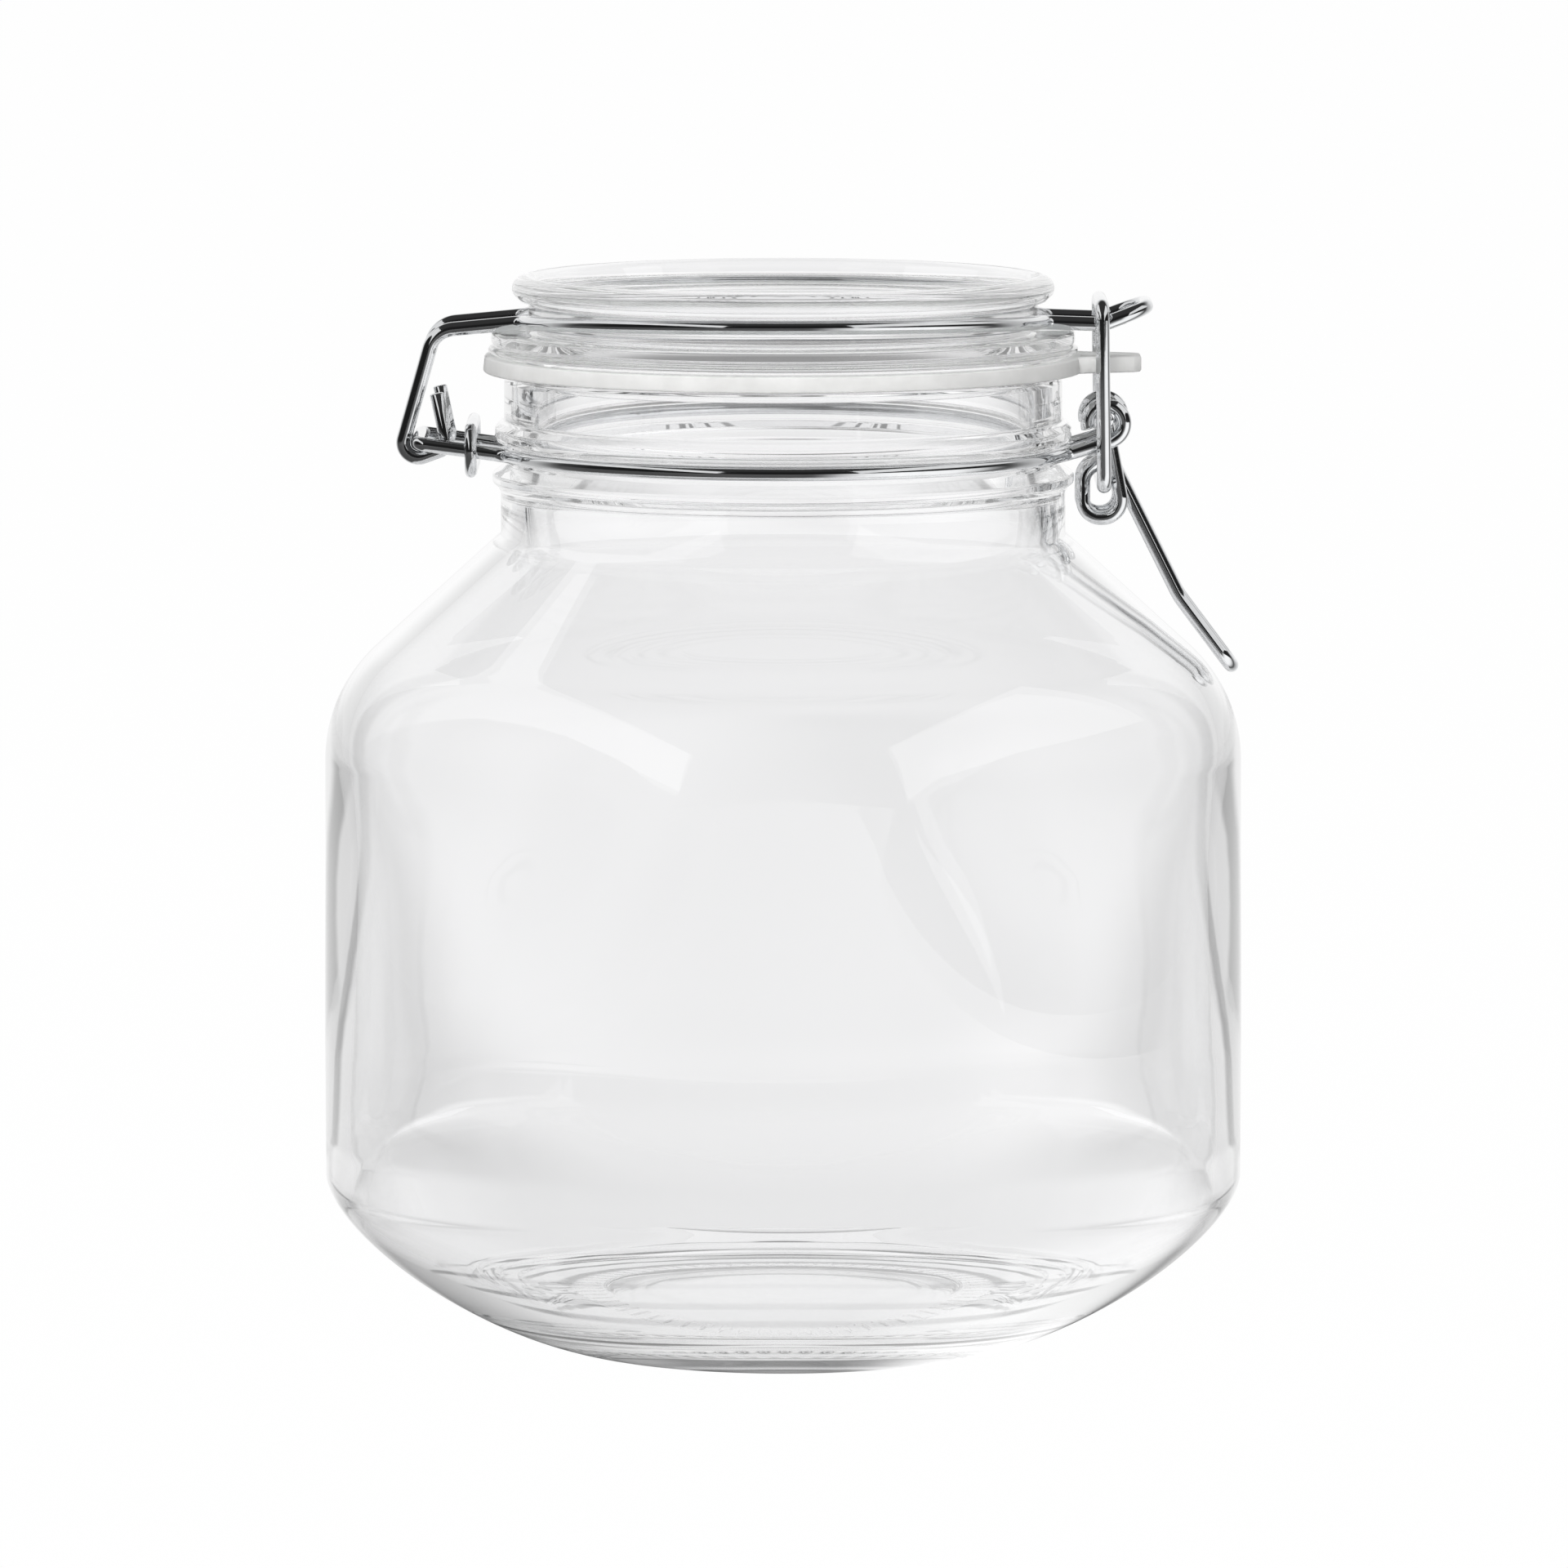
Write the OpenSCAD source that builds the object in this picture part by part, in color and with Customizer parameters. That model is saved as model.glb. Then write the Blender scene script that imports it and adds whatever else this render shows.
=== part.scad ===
// Square clamp-lid storage jar: glass body and lid, rubber gasket, and a steel wire clamp.
// The base rests on z = 0, the hinge is at -X and the clamp lever at +X.

/* [Jar body] */
// Width of the square body across the flats
body_width = 145.2; // [100:0.2:190]
// Height of the jar from the base to the glass rim
rim_height = 154.9; // [110:0.1:240]
// Thickness of the glass wall
wall = 3.4; // [2.4:0.1:5]
// Plan radius of the four upright corners
corner_radius = 45; // [20:1:60]
// Height of the rounding from the base up into the sides
heel_height = 29; // [12:1:45]
// Thickness of the glass floor
floor_thickness = 6.6; // [4:0.1:12]
// Outer radius of the ring the jar stands on
foot_radius = 33.5; // [22:0.5:50]
// Depth of the hollow under the base
punt_depth = 2.4; // [1:0.1:4]

/* [Neck] */
// Radius of the mouth
mouth_radius = 40; // [30:0.5:50]
// Thickness of the neck around the mouth
neck_wall = 4.65; // [3.5:0.05:8]
// Slope of the shoulder, in degrees from level
shoulder_slope = 42.3; // [30:0.1:55]
// Radius where the shoulder turns down into the sides
shoulder_radius = 24; // [8:1:36]

/* [Lid and gasket] */
// How far the lid flange stands out past the neck
flange_overhang = 1.95; // [0.5:0.05:4]
// Height of the groove for the wire in the lid
lid_groove = 4.8; // [4:0.1:8]
// Thickness of the gasket
gasket_thickness = 2.55; // [1.5:0.05:4]
// How far the pull tab stands out from the gasket
tab_length = 9.5; // [7:0.1:20]

/* [Clamp wires] */
// Diameter of the clamp wire
wire = 2.25; // [1.6:0.05:2.8]
// Diameter of the collar clip wire
clip_wire = 1.9; // [1.2:0.1:2.4]
// Length of the lever handle below its coil
handle_length = 31; // [20:1:45]

/* [Hidden] */
$fn = 48;
fit = 0.15;
half = body_width / 2;
arc_x = half - corner_radius;
neck_radius = mouth_radius + neck_wall;
flange_radius = neck_radius + flange_overhang;
// heights of the rim, the top of the gasket, the foot of the neck and the two wire rings
zr = rim_height;
zg = zr + gasket_thickness + 0.05;
z_neck = zr - 25.6;
z_ring = zr - 12.6;
// the lid ring lies low at the sides of the groove and rises to its middle
spare = lid_groove - wire;
z_lid_ring = zg + 3.8 + wire / 2 + 0.265 * spare;
// the rings lie in the neck groove and under the bead of the lid
groove_r = neck_radius - 1.45;
lid_seat_r = flange_radius - 6.4;
ring_r = groove_r + wire / 2 + 0.175;
lid_ring_r = lid_seat_r + wire / 2 + 0.275;
// layers of the clamp wires to each side of the middle plane
y_handle = 2.375 + wire / 2;
y_arm = y_handle + wire + 0.1;
y_eye = y_arm + wire + fit;
y_link = y_eye + wire + 0.45;
y_nose = y_arm + 1.75;
y_hook = y_eye - 0.05;
y_hinge = y_hook + wire + 0.35;
// axes of the clamp: hinge bar, lever axle, link pivot and the top bar of the link
hinge = [-neck_radius - 12.75, 0, zr - 10.7];
axle = [neck_radius + 6.25, 0, zr - 7.2];
pivot = axle + [-0.4, 0, -10.4];
catch = [neck_radius + 5.45, 0, z_lid_ring + wire + 0.4];
eye = axle + [-0.1, 0, -0.5];

// ---- wire bending ----

function unit(v) = v / norm(v);
function turn(a, b, c) = acos(unit(b - a) * unit(c - b));
function setback(a, b, c, r) = r * tan(turn(a, b, c) / 2);
function inward(a, b, c) = unit(unit(c - b) - unit(b - a) * (unit(b - a) * unit(c - b)));
// corner between two straight legs that wrap a circle of radius r about p
function wrap(p, d1, d2, r) =
  p + r * (tan(acos(d1 * d2) / 2) * d1 - unit(d2 - d1 * (d1 * d2)));

module straight(a, b, d) {
  v = b - a;
  u = unit(v);
  translate(a - u * 0.15)
    rotate([0, acos(u.z), atan2(u.y, u.x)])
      cylinder(d = d - 0.02, h = norm(v) + 0.3);
}

module bend(a, b, c, r, d) {
  u = unit(b - a);
  n = inward(a, b, c);
  p = b - u * setback(a, b, c, r) + n * r;
  w = cross(-n, u);
  multmatrix([[-n.x, u.x, w.x, p.x], [-n.y, u.y, w.y, p.y],
              [-n.z, u.z, w.z, p.z], [0, 0, 0, 1]])
    rotate_extrude(angle = turn(a, b, c))
      translate([r, 0])
        circle(d = d);
}

// bends at every inner point of the path and straight runs between them; the first
// run starts at the first point only when from_start is true
module bent_wire(pts, radii, d, from_start = true, to_end = true) {
  last = len(pts) - 1;
  for (i = [1 : last - 1])
    bend(pts[i - 1], pts[i], pts[i + 1], radii[i], d);
  for (i = [0 : last - 1])
    if ((i > 0 || from_start) && (i < last - 1 || to_end)) {
      u = unit(pts[i + 1] - pts[i]);
      s = i == 0 ? 0 : setback(pts[i - 1], pts[i], pts[i + 1], radii[i]);
      e = i == last - 1 ? 0 : setback(pts[i], pts[i + 1], pts[i + 2], radii[i + 1]);
      straight(pts[i] + u * s, pts[i + 1] - u * e, d);
    }
}

module both_sides() {
  children();
  mirror([0, 1, 0]) children();
}

// straight bar across the middle plane between two mirrored bends
module cross_bar(p, y, r, d) {
  straight([p.x, -(y - r), p.z], [p.x, y - r, p.z], d);
}

// ---- glass jar ----

function heel_shape(s, q) = 1 - pow(1 - pow(s, q), 1 / q);
// heel curve from radius foot at height z0 to radius side at height z0 + h
function heel(side, foot, z0, h, q, n) =
  [for (i = [0 : n]) let(s = 1 - (1 - cos(90 * i / n)))
    [side - (side - foot) * heel_shape(s, q), z0 + h * (1 - s)]];
// rounded turn from an upright side to a slope; the slope line starts at (r0, z0)
function shoulder_z(r, r0, z0) = z0 - (r - r0) * tan(shoulder_slope);
function shoulder(side, r0, z0, rad, n) =
  let(zc = shoulder_z(side, r0, z0) - rad * tan((90 - shoulder_slope) / 2))
  [for (i = [0 : n]) let(a = (90 - shoulder_slope) * i / n)
    [side - rad + rad * cos(a), zc + rad * sin(a)]];

// round section: gives the corners their heel and shoulder, and the neck its shape
module round_section(side, foot, z0, h, r0, zs, rad, top) {
  rotate_extrude($fn = 96)
    polygon(concat([[0, z0]], heel(side, foot, z0, h, 1.46, 10),
                   shoulder(side, r0, zs, rad, 8), [[r0, zs]], top,
                   [[0, top[len(top) - 1].y]]));
}

// flat section: the outline seen from the front, run through the whole width
module flat_section(side, foot, z0, h, r0, zs, rad) {
  pts = concat(heel(side, foot, z0, h, 1.46, 10), shoulder(side, r0, zs, rad, 8));
  e = pts[len(pts) - 1];
  f = pts[len(pts) - 2];
  k = (e.y - f.y) / (e.x - f.x);
  right = concat([for (i = [0 : len(pts) - 2]) pts[i]],
                 [[e.x - 5, f.y + k * (e.x - 5 - f.x)], [e.x - 5, zr + 10]]);
  left = [for (i = [len(right) - 1 : -1 : 0]) [-right[i].x, right[i].y]];
  rotate([90, 0, 0])
    translate([0, 0, -200])
      linear_extrude(400)
        polygon(concat(right, left));
}

module square_prism(w, r, z0, z1) {
  translate([0, 0, z0])
    linear_extrude(z1 - z0)
      union() {
        square([2 * w, 2 * (w - r)], center = true);
        square([2 * (w - r), 2 * w], center = true);
        for (x = [-1, 1], y = [-1, 1])
          translate([x * (w - r), y * (w - r)])
            circle(r = r, $fn = 96);
      }
}

function neck_outline() = [
  [neck_radius, zr - 18.7], [neck_radius + 0.75, zr - 18.0],
  [neck_radius + 1.3, zr - 17.2], [neck_radius + 1.35, zr - 16.2],
  [groove_r + 0.6, zr - 14.6], [groove_r, zr - 13.9],
  [groove_r, zr - 11.2], [neck_radius + 0.45, zr - 10.9],
  [neck_radius + 0.95, zr - 10.2], [neck_radius + 0.95, zr - 8.9],
  [neck_radius + 0.3, zr - 8.2], [neck_radius - 0.55, zr - 7.9],
  [neck_radius - 0.55, zr - 1.2], [neck_radius - 0.9, zr - 0.35],
  [neck_radius - 1.75, zr]];

module glass_jar() {
  diag = arc_x * sqrt(2) + corner_radius + 0.5;
  s = wall / cos(shoulder_slope);
  inner_r0 = mouth_radius;
  inner_z = z_neck + (neck_radius - mouth_radius) * tan(shoulder_slope) - s;
  color([0.86, 0.93, 0.92, 0.45])
    difference() {
      intersection() {
        round_section(diag, foot_radius + 1, 0, heel_height + 3, neck_radius, z_neck,
                      shoulder_radius, neck_outline());
        square_prism(half, corner_radius, -1, zr + 1);
        flat_section(half + 0.25, foot_radius - 1, 0, heel_height, neck_radius,
                     z_neck, shoulder_radius);
        rotate([0, 0, 90])
          flat_section(half + 0.25, foot_radius - 1, 0, heel_height, neck_radius,
                       z_neck, shoulder_radius);
      }
      intersection() {
        round_section(diag - wall, foot_radius - 4, floor_thickness, heel_height + 1,
                      inner_r0, inner_z, shoulder_radius - wall,
                      [[mouth_radius, zr - 1.4], [mouth_radius + 1.2, zr + 0.5]]);
        square_prism(half - wall, corner_radius - wall, 1, zr + 1);
        flat_section(half - wall + 0.25, foot_radius - 6, floor_thickness,
                     heel_height - 4, inner_r0, inner_z, shoulder_radius - wall);
        rotate([0, 0, 90])
          flat_section(half - wall + 0.25, foot_radius - 6, floor_thickness,
                       heel_height - 4, inner_r0, inner_z, shoulder_radius - wall);
      }
      rotate_extrude($fn = 96)
        polygon([[0, -1], [foot_radius - 5, -1], [foot_radius - 5, 0.2],
                 [foot_radius - 8, punt_depth - 0.8], [foot_radius - 14, punt_depth],
                 [0, punt_depth]]);
    }
}

// ---- lid and gasket ----

module glass_lid() {
  t = zg + 3.8 + lid_groove + 3.9;
  f = flange_radius;
  g = lid_seat_r;
  bead = [for (a = [-90 : 15 : 90])
    [f - 6 + 2.25 * cos(a), t - 2 + (a < 0 ? 1.9 : 2) * sin(a)]];
  color([0.86, 0.93, 0.92, 0.45])
    rotate_extrude($fn = 96)
      polygon(concat(
        [[0, zg + 3], [mouth_radius - 8, zg + 2.6], [mouth_radius - 5.5, zg + 0.4],
         [mouth_radius - 4.6, zg - 4.2], [mouth_radius - 2.4, zg - 4.5],
         [mouth_radius - 1.9, zg - 4], [mouth_radius - 1.9, zg],
         [f - 0.8, zg], [f, zg + 0.7], [f, zg + 1.2], [f - 1.1, zg + 1.6],
         [f - 0.5, zg + 2], [f - 0.5, zg + 3.5], [f - 0.9, zg + 3.8],
         [g, zg + 3.8], [g, t - 3.9]],
        bead,
        [[f - 7.8, t - 0.6], [f - 9, t - 2.6], [f - 11, t - 3.8], [0, t - 4.4]]));
}

module sealing_gasket() {
  r = neck_radius + 2.5;
  z0 = zr + 0.05;
  tip = r + tab_length;
  color([0.84, 0.84, 0.81]) {
    rotate_extrude($fn = 96)
      polygon([[mouth_radius - 0.9, z0], [r + 0.25, z0], [r, zg], [mouth_radius - 0.9, zg]]);
    translate([0, 0, z0 + 0.05])
      linear_extrude(gasket_thickness - 0.15)
        difference() {
          polygon([[r - 3, -9], [r + 1.2, -7.2], [r + 4, -6.2], [tip - 1.6, -4.6],
                   [tip - 0.4, -3.6], [tip, -2], [tip, 2], [tip - 0.4, 3.6],
                   [tip - 1.6, 4.6], [r + 4, 6.2], [r + 1.2, 7.2], [r - 3, 9]]);
          circle(r = r - 2, $fn = 96);
        }
  }
}

// ---- clamp wires ----

module neck_wire() {
  k = 20;
  far = ring_r / sin(k);
  t = [ring_r * cos(k), -ring_r * sin(k), z_ring];
  side = unit([sin(k), cos(k), 0]);
  ch = t + side * ((y_hinge * -1 - t.y) / side.y);
  ce = t + side * ((y_eye * -1 - t.y) / side.y);
  hinge_corner = [hinge.x, -y_hinge, hinge.z];
  tail = [ce.x, ce.y, z_ring];
  dx = eye.x - tail.x;
  dz = eye.z - tail.z;
  eye_r = wire + 0.65;
  tight = wire / 2 + 0.175;
  slope = atan2(dz, dx) - asin(eye_r / norm([dx, dz]));
  reach = sqrt(dx * dx + dz * dz - eye_r * eye_r);
  touch = tail + [reach * cos(slope), 0, reach * sin(slope)];
  color([0.78, 0.79, 0.8]) {
    cross_bar(hinge, y_hinge, tight, wire);
    both_sides() {
      bent_wire([hinge, hinge_corner, [-ch.x, -y_hinge, z_ring],
                 [0, -far, z_ring], tail, touch],
                [0, tight, 2.6, ring_r, 1.9, 0], wire, from_start = false);
      translate([eye.x, -y_eye, eye.z])
        rotate([90, 0, 0])
          rotate([0, 0, slope - 90])
            rotate_extrude(angle = 272)
              translate([eye_r, 0])
                circle(d = wire);
    }
  }
}

module collar_clip() {
  x = hinge.x + 8.3;
  z = zr - 11.8;
  y = y_hinge - 0.9;
  r = 0.9 + wire / 2 + 0.425 + clip_wire / 2;
  color([0.78, 0.79, 0.8])
    translate([x, 0, z]) {
      straight([0, -y, r], [0, y, r], clip_wire);
      straight([0, -y, -r], [0, y, -r], clip_wire);
      both_sides()
        translate([0, -y, 0])
          rotate([0, 90, 0])
            rotate([0, 0, 180])
              rotate_extrude(angle = 180)
                translate([r, 0])
                  circle(d = clip_wire);
    }
}

module lid_wire() {
  k = 17;
  far = lid_ring_r / sin(k);
  t = [lid_ring_r * cos(k), -lid_ring_r * sin(k), z_lid_ring];
  side = unit([sin(k), cos(k), 0]);
  ch = t + side * ((y_hook * -1 - t.y) / side.y);
  cn = t + side * ((y_nose * -1 - t.y) / side.y);
  leg = unit([-0.274, 0, -0.962]);
  under = unit([0.94, 0, 0.342]);
  stub = unit([-0.2, 0, 0.98]);
  j1 = wrap(hinge, leg, under, wire + fit);
  knee = j1 - leg * ((z_lid_ring - 1.3 - j1.z) / -leg.z);
  j2 = j1 + under * 8.77;
  end = j2 + stub * 8.8;
  dip = [catch.x + 0.3, -y_nose, z_lid_ring - 0.3];
  nose = [catch.x + 7.1, -y_nose, z_lid_ring + 2.25];
  color([0.78, 0.79, 0.8]) {
    cross_bar(nose, y_nose, 4.5, wire);
    both_sides()
      bent_wire([[end.x, -y_hook, end.z], [j2.x, -y_hook, j2.z],
                 [j1.x, -y_hook, j1.z], [knee.x, -y_hook, knee.z],
                 [-ch.x, -y_hook, z_lid_ring], [0, -far, z_lid_ring + 2.47 * spare],
                 [cn.x, -y_nose, z_lid_ring], dip, nose, [nose.x, 0, nose.z]],
                [0, wire / 2 + 0.475, wire + fit, 4.3, 2, lid_ring_r, 2, 4, 4.5, 0], wire,
                to_end = false);
  }
}

module clamp_lever() {
  // the handle keeps its distance from the shoulder
  fall = shoulder_slope + 10.83;
  out = [cos(fall), 0, -sin(fall)];
  x6 = axle.x + 11.7;
  p1 = [axle.x, -y_arm, axle.z];
  p2 = [pivot.x + 1.5 * wire + 0.025, -y_arm, axle.z - 15.7];
  p3 = [axle.x - 3.6, -y_arm + 0.7, axle.z - 15.7];
  p4 = [axle.x - 3.55, -y_arm + 1.5, axle.z - 8.7];
  p5 = [axle.x + 0.4, -y_handle, axle.z - 5.7];
  p6 = [x6, -y_handle, shoulder_z(x6, neck_radius, z_neck) + 6.433];
  p7 = p6 + out * (handle_length - 17);
  color([0.78, 0.79, 0.8]) {
    cross_bar(p7, y_handle, 3, wire);
    both_sides()
      bent_wire([[axle.x, -y_eye - 1.2, axle.z], p1, p2, p3, p4, p5, p6, p7,
                 [p7.x, 0, p7.z]],
                [0, wire / 2 + 0.375, 3, 2.8, 3, 2, 12, 3, 0], wire, to_end = false);
  }
}

module clasp_link() {
  r = 2.2;
  color([0.78, 0.79, 0.8]) {
    cross_bar(pivot, y_link, r, wire);
    cross_bar(catch, y_link, r, wire);
    both_sides()
      bent_wire([pivot, [pivot.x, -y_link, pivot.z], [catch.x, -y_link, catch.z], catch],
                [0, r, r, 0], wire, from_start = false, to_end = false);
  }
}

glass_jar();
neck_wire();
collar_clip();
glass_lid();
sealing_gasket();
lid_wire();
clamp_lever();
clasp_link();
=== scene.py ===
import bpy
import math
import numpy as np
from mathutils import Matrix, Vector


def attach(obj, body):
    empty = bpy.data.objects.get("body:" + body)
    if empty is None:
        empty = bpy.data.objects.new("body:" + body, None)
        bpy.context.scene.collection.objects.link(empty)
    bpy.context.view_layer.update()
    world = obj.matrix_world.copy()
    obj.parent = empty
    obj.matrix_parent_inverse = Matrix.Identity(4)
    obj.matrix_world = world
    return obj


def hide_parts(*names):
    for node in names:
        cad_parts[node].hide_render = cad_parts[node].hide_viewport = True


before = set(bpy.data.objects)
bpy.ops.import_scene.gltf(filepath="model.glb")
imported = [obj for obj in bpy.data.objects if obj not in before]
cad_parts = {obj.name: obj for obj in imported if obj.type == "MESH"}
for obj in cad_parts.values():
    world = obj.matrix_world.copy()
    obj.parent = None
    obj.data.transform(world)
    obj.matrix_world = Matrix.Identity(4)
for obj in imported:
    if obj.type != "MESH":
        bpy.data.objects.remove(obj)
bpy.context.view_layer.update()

MM = 0.001
scene = bpy.context.scene


# ---------------------------------------------------------------- geometry helpers
def unit(v):
    return v / np.linalg.norm(v)


def rounded(points, radii, step=6.0):
    """A path with each inner corner turned into an arc of its radius."""
    pts = [np.array(p, float) for p in points]
    out = [pts[0]]
    for i in range(1, len(pts) - 1):
        a, b, c = pts[i - 1], pts[i], pts[i + 1]
        d1, d2 = unit(b - a), unit(c - b)
        turn = math.acos(max(-1.0, min(1.0, float(d1 @ d2))))
        if radii[i] <= 0 or turn < 1e-3:
            out.append(b)
            continue
        n = unit(d2 - d1 * (d1 @ d2))
        start = b - d1 * radii[i] * math.tan(turn / 2)
        centre = start + n * radii[i]
        count = max(2, int(math.ceil(math.degrees(turn) / step)))
        for k in range(count + 1):
            t = turn * k / count
            out.append(centre - n * radii[i] * math.cos(t) + d1 * radii[i] * math.sin(t))
    out.append(pts[-1])
    return out


def add_mesh(name, verts, faces, body, material, node=None):
    me = bpy.data.meshes.new(name)
    me.from_pydata([tuple(float(c) * MM for c in v) for v in verts], [], faces)
    me.validate()
    me.update()
    for p in me.polygons:
        p.use_smooth = True
    ob = bpy.data.objects.new(name, me)
    scene.collection.objects.link(ob)
    me.materials.append(material)
    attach(ob, body)
    if node:
        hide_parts(node)
    return ob


def tube(path, radius, sides=20, closed=False):
    """Verts and faces of a round wire along a path, with slightly rounded cut ends."""
    pts = [np.array(p, float) for p in path]
    keep = [pts[0]]
    for p in pts[1:]:
        if np.linalg.norm(p - keep[-1]) > 1e-4:
            keep.append(p)
    pts = keep
    if closed and np.linalg.norm(pts[0] - pts[-1]) < 1e-3:
        pts.pop()
    n = len(pts)
    tangents = []
    for i in range(n):
        if closed:
            t = unit(pts[(i + 1) % n] - pts[i]) + unit(pts[i] - pts[i - 1])
        elif i == 0:
            t = pts[1] - pts[0]
        elif i == n - 1:
            t = pts[-1] - pts[-2]
        else:
            t = unit(pts[i + 1] - pts[i]) + unit(pts[i] - pts[i - 1])
        tangents.append(unit(t))
    ref = np.array([0.0, 0.0, 1.0]) if abs(tangents[0][2]) < 0.8 else np.array([1.0, 0.0, 0.0])
    u = unit(ref - tangents[0] * (ref @ tangents[0]))
    ups = [u]
    for i in range(1, n):
        u = ups[-1] - tangents[i] * (ups[-1] @ tangents[i])
        ups.append(unit(u))
    twist = 0.0
    if closed:
        u = ups[-1] - tangents[0] * (ups[-1] @ tangents[0])
        u = unit(u)
        w = np.cross(tangents[0], ups[0])
        twist = math.atan2(float(u @ w), float(u @ ups[0]))
    rings = []
    for i in range(n):
        w = np.cross(tangents[i], ups[i])
        off = -twist * i / n
        rings.append((pts[i], tangents[i], ups[i], w, off, radius))
    if not closed:
        soft = min(0.25, radius * 0.3)
        first, last = rings[0], rings[-1]
        rings = (
            [(first[0], *first[1:5], radius - soft),
             (first[0] + first[1] * soft * 0.6, *first[1:5], radius)]
            + rings[1:-1]
            + [(last[0] - last[1] * soft * 0.6, *last[1:5], radius),
               (last[0], *last[1:5], radius - soft)]
        )
    verts, faces = [], []
    for p, t, up, w, off, r in rings:
        for k in range(sides):
            a = 2 * math.pi * k / sides + off
            verts.append(p + r * (math.cos(a) * up + math.sin(a) * w))
    m = len(rings)
    for i in range(m if closed else m - 1):
        j = (i + 1) % m
        for k in range(sides):
            nxt = (k + 1) % sides
            faces.append((i * sides + k, i * sides + nxt, j * sides + nxt, j * sides + k))
    if not closed:
        for i, flip in ((0, True), (m - 1, False)):
            ring = [i * sides + k for k in range(sides)]
            verts.append(rings[i][0])
            c = len(verts) - 1
            for k in range(sides):
                nxt = (k + 1) % sides
                f = (ring[k], ring[nxt], c)
                faces.append(f[::-1] if flip else f)
    return verts, faces


def loft(rings, closed_ends):
    """Faces joining rings of equal length; closed_ends closes the first and last ring."""
    m = len(rings[0])
    verts = [v for r in rings for v in r]
    faces = []
    for i in range(len(rings) - 1):
        for k in range(m):
            nxt = (k + 1) % m
            faces.append((i * m + k, i * m + nxt, (i + 1) * m + nxt, (i + 1) * m + k))
    if closed_ends:
        for i, flip in ((0, True), (len(rings) - 1, False)):
            centre = np.mean(np.array(rings[i]), axis=0)
            verts.append(centre)
            c = len(verts) - 1
            for k in range(m):
                nxt = (k + 1) % m
                f = (i * m + k, i * m + nxt, c)
                faces.append(f[::-1] if flip else f)
    return verts, faces


def plan_ring(w, n, z, count):
    """One ring of the square-to-round plan: half width w, squareness n (2 is a circle)."""
    ring = []
    for k in range(count):
        a = 2 * math.pi * k / count
        c, s = abs(math.cos(a)), abs(math.sin(a))
        r = w / (c ** n + s ** n) ** (1 / n)
        ring.append((r * math.cos(a), r * math.sin(a), z))
    return ring


def smooth01(x):
    x = max(0.0, min(1.0, x))
    return x * x * (3 - 2 * x)


# ---------------------------------------------------------------- sizes, in millimetres
HALF, WALL, ZR = 72.6, 3.6, 154.9  # half the body's width, its wall, height of the rim
NECK, MOUTH = 44.65, 40.0  # outer and inner radius of the neck
ZG = ZR + 2.6  # top of the gasket
WIRE = 2.25
R = WIRE / 2
# how far the parts of the clamp lie from the middle plane, to the middle of the wire
Y_HANDLE = 2.375 + R
Y_ARM = Y_HANDLE + WIRE + 0.1
Y_EYE = Y_ARM + WIRE + 0.15
Y_LINK = Y_EYE + WIRE + 0.45
Y_NOSE = Y_ARM + 1.75
Y_HOOK = Y_EYE - 0.05
Y_HINGE = Y_HOOK + WIRE + 0.35
# middles of the clamp's joints and of the parts that they hold
HINGE = np.array([-NECK - 12.75, 0, ZR - 10.7])
AXLE = np.array([NECK + 6.25, 0, ZR - 7.2])
PIVOT = AXLE + [-0.4, 0, -10.4]
CATCH = np.array([NECK + 5.45, 0, ZR + 10.85])
EYE = AXLE + [-0.1, 0, -0.5]
SLOPE = math.radians(42.3)  # of the shoulder
LEAN = 0.25  # how much wider half of the body is at the shoulder than at the heel
HEEL, FOOT = 29, 33.0  # height of the heel, radius of the foot
BODY_TOP, SHOULDER_R = 93.2, 24  # top of the upright sides, radius of the bend above them
SHOULDER_TOP = ZR - 25.6
LIFT = 2.0  # the most by which the inside of the heel can lie above the outside
FLOOR_EDGE = 49.2  # where the inner wall ends and the floor begins
SQUAREST = 48  # the plan is squarest from the heel up to here, and turns round over as much again


# ---------------------------------------------------------------- materials
LEAVES_GLASS = 3.5  # light that has turned inside the wall more often than this goes straight on


def nodes_of(name):
    """A new material, its emptied node tree and its output node."""
    mat = bpy.data.materials.new(name)
    mat.use_nodes = True
    nt = mat.node_tree
    nt.nodes.clear()
    out = nt.nodes.new("ShaderNodeOutputMaterial")
    return mat, nt, out


def noise(nt, scale, detail, rough):
    """Noise in the object's own coordinates; scale is in features per metre."""
    tc = nt.nodes.new("ShaderNodeTexCoord")
    n = nt.nodes.new("ShaderNodeTexNoise")
    n.inputs["Scale"].default_value = scale
    n.inputs["Detail"].default_value = detail
    n.inputs["Roughness"].default_value = rough
    nt.links.new(tc.outputs["Object"], n.inputs["Vector"])
    return n


def bump(nt, height, strength, distance):
    b = nt.nodes.new("ShaderNodeBump")
    b.inputs["Strength"].default_value = strength
    b.inputs["Distance"].default_value = distance
    nt.links.new(height, b.inputs["Height"])
    return b


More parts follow.
